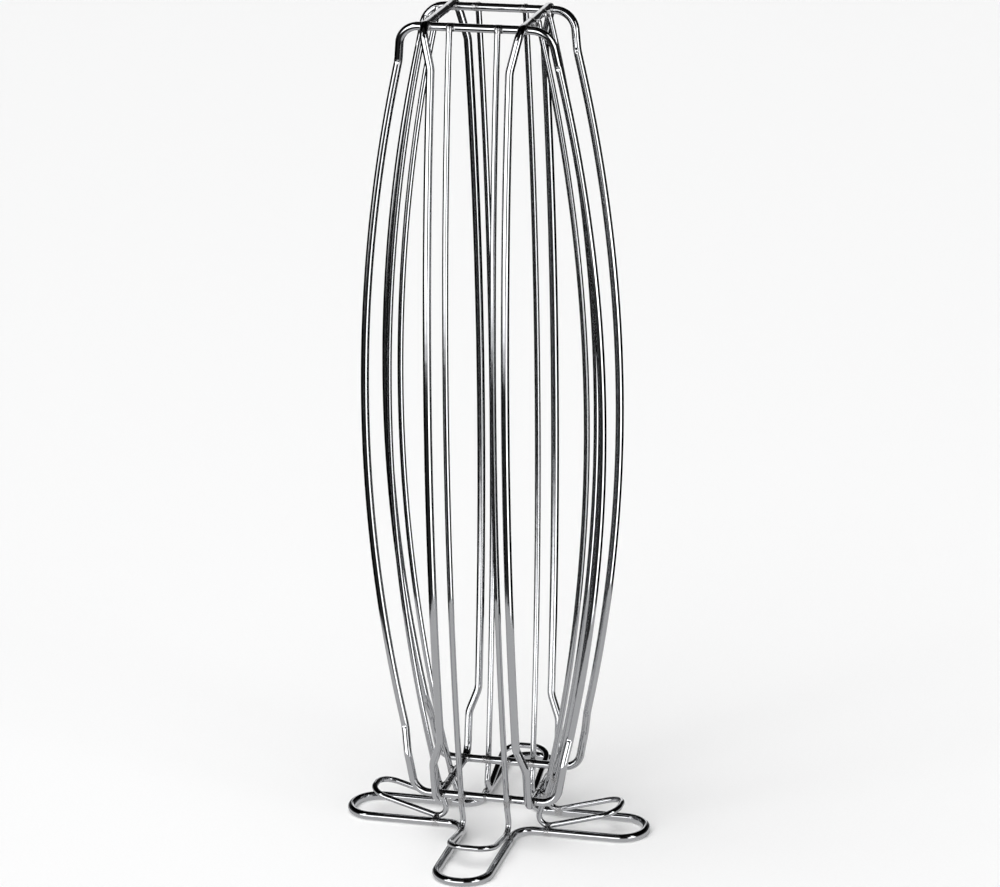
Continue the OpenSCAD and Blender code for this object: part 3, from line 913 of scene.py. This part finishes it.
class CAPSULETOWER_OT_crossing_welds(bpy.types.Operator):
    """Lays the eight beads where the heavy loops cross"""
    bl_idname = "capsule_tower.crossing_welds"
    bl_label = "Crossing welds"

    def execute(self, context):
        sizes = context.scene.capsule_tower_sizes
        heavy, swell = in_mm(sizes.heavy_wire), in_mm(sizes.bead_swell)
        for level, z, seed in (
            ("top", BAR_HIGH + CROSS_STEP / 2, 2), ("bottom", BAR_LOW - CROSS_STEP / 2, 1),
        ):
            build = bmesh.new()
            for x in (-1, 1):
                for y in (-1, 1):
                    spot = Vector((x * BAR_HALF, y * BAR_HALF, z))
                    lump(build, spot, UP, CROSS_LUMP)
                    for face in ("front" if y < 0 else "back", "left" if x < 0 else "right"):
                        angle, rails, _, step = FACES[face]
                        bars = turned(loop_route(rails, step), angle)
                        sleeve(build, bars, spot, CROSS_REACH, heavy, swell)
            place(beads(build, level + "_crossing_beads", seed), level + "_cross_welds")
        return {"FINISHED"}


class CAPSULETOWER_OT_hairpin_welds(bpy.types.Operator):
    """Lays the beads that hold the hairpins on the bars and on the foot ring"""
    bl_idname = "capsule_tower.hairpin_welds"
    bl_label = "Hairpin welds"

    def execute(self, context):
        sizes = context.scene.capsule_tower_sizes
        heavy, light = in_mm(sizes.heavy_wire), in_mm(sizes.light_wire)
        swell = in_mm(sizes.bead_swell)
        top, bar, foot = bmesh.new(), bmesh.new(), bmesh.new()
        for angle, rails, pin, step in FACES.values():
            spin = spin_by(angle)
            hairpin = hairpin_route(pin, step, heavy, light)
            bars, legs = turned(loop_route(rails, step), angle), turned(hairpin, angle)
            # Where the bend at a leg's foot starts, it comes nearest to the ring wire.
            knee, low, tip = (point for point, _ in hairpin[2:5])
            down, up = (low - knee).normalized(), (tip - low).normalized()
            start = low - down * FOOT_R * math.tan(down.angle(up) / 2)
            touch_y = start.y - FOOT_R * math.cos(FOOT_LEAN)
            for side in (-1, 1):
                for build, z in ((top, BAR_HIGH + step), (bar, BAR_LOW - step)):
                    spot = spin @ Vector((
                        side * pin["half"], -BAR_HALF - heavy / 2, z - BAR_LUMP_DROP,
                    ))
                    lump(build, spot, spin @ Vector((0, -1, 0)), BAR_LUMP)
                    sleeve(build, bars, spot, BAR_REACH, heavy, swell)
                    sleeve(build, legs, spot, LEG_REACH, light, swell, trim=CUT_CLEAR)
                ring = Vector((side * (pin["half"] + pin["aside"]), touch_y, heavy / 2))
                leg_z = foot_height(pin["aside"], heavy, light)
                leg = Vector((side * pin["half"], touch_y, leg_z))
                out = (leg - ring).normalized()
                lump(foot, spin @ (ring + out * heavy / 2), spin @ out, FOOT_LUMP)
                sleeve(foot, ring_route(heavy), spin @ ring, BAR_REACH, heavy, swell)
                sleeve(foot, legs, spin @ leg, LEG_REACH, light, swell)
        for build, where, seed in ((top, "top", 3), (bar, "bar", 4), (foot, "foot", 5)):
            name = "hairpin_" + where
            place(beads(build, name + "_beads", seed), name + "_welds")
        return {"FINISHED"}


class CAPSULETOWER_OT_butt_welds(bpy.types.Operator):
    """Closes the four loops and the foot ring with a butt weld each"""
    bl_idname = "capsule_tower.butt_welds"
    bl_label = "Butt welds"

    def execute(self, context):
        heavy = in_mm(context.scene.capsule_tower_sizes.heavy_wire)
        finish = finish_of(chrome_over_weld_bead)
        across = Vector((1, 0, 0))
        loops, ring = bmesh.new(), bmesh.new()
        for angle, _, _, step in FACES.values():
            spin = spin_by(angle)
            butt_bead(loops, spin @ Vector((0, -BAR_HALF, BAR_LOW - step)), spin @ across, heavy)
        place(to_object(loops, "loop_butt_beads", finish), "loop_butt_welds")
        butt_bead(ring, Vector((0, FRONT_PETAL_OUT, heavy / 2)), across, heavy, on_table=True)
        place(to_object(ring, "ring_butt_bead", finish), "ring_butt_weld")
        return {"FINISHED"}


class VIEW3D_PT_capsule_tower(bpy.types.Panel):
    bl_label = "Capsule tower"
    bl_space_type = "VIEW_3D"
    bl_region_type = "UI"
    bl_category = "Capsule tower"

    def draw(self, context):
        for group in SETTINGS:
            settings = getattr(context.scene, group)
            for key in settings.bl_rna.properties.keys():
                if key not in ("rna_type", "name"):
                    self.layout.prop(settings, key)
        for maker in MAKERS:
            self.layout.operator(maker.bl_idname)


SETTINGS = {
    "capsule_tower_sizes": CapsuleTowerSizes,
    "capsule_tower_finish": CapsuleTowerFinish,
    "capsule_tower_stage": CapsuleTowerStage,
}
MAKERS = (
    CAPSULETOWER_OT_loops,
    CAPSULETOWER_OT_hairpins,
    CAPSULETOWER_OT_foot_ring,
    CAPSULETOWER_OT_crossing_welds,
    CAPSULETOWER_OT_hairpin_welds,
    CAPSULETOWER_OT_butt_welds,
    CAPSULETOWER_OT_stage,
)
CLASSES = (*SETTINGS.values(), *MAKERS, VIEW3D_PT_capsule_tower)


def register():
    for cls in CLASSES:
        bpy.utils.register_class(cls)
    for group, cls in SETTINGS.items():
        setattr(bpy.types.Scene, group, bpy.props.PointerProperty(type=cls))


def unregister():
    for group in SETTINGS:
        delattr(bpy.types.Scene, group)
    for cls in reversed(CLASSES):
        bpy.utils.unregister_class(cls)


def main():
    register()
    bpy.ops.capsule_tower.stage()
    bpy.ops.capsule_tower.loops()
    bpy.ops.capsule_tower.hairpins()
    bpy.ops.capsule_tower.foot_ring()
    bpy.ops.capsule_tower.crossing_welds()
    bpy.ops.capsule_tower.hairpin_welds()
    bpy.ops.capsule_tower.butt_welds()


if __name__ == "__main__":
    main()
